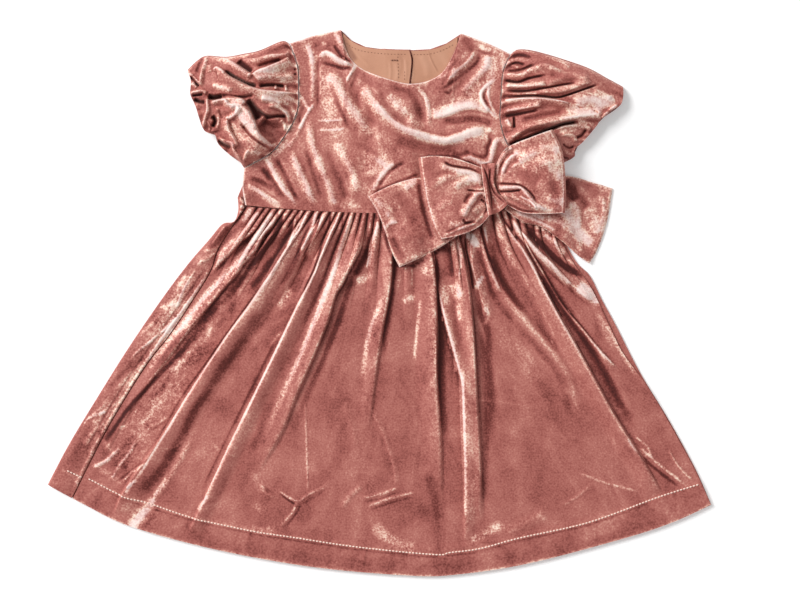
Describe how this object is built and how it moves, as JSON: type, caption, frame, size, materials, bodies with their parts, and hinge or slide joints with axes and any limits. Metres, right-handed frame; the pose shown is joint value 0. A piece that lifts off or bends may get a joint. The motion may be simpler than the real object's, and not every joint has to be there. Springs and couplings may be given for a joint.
{
  "type": "toddler party dress",
  "caption": "Toddler's velvet party dress laid flat on its back: puff sleeves, gathered skirt, a bow at the waist and a buttoned centre back.",
  "frame": {"origin": "middle of the dress's outline, on the flat surface that it lies on", "axes": "+X across the dress towards the bow's side, +Y up the dress to the neck, +Z off the surface"},
  "size_m": [0.5963, 0.4908, 0.0283],
  "materials": {
    "velvet": "crushed velvet with a sheen",
    "lining": "smooth satin",
    "button": "satin"
  },
  "bodies": {
    "root": {"back_bodice_left": "velvet", "back_bodice_right": "velvet", "back_skirt": "velvet", "front_bodice": "velvet", "front_skirt": "velvet", "sleeve_left": "velvet", "sleeve_right": "velvet", "bow_tail_left": "velvet", "bow_tail_right": "velvet", "bow_loop_left": "velvet", "bow_loop_right": "velvet", "bow_knot": "velvet", "back_lining_left": "lining", "back_lining_right": "lining", "back_button_1": "button", "back_button_2": "button", "back_button_3": "button"}
  },
  "joints": []
}
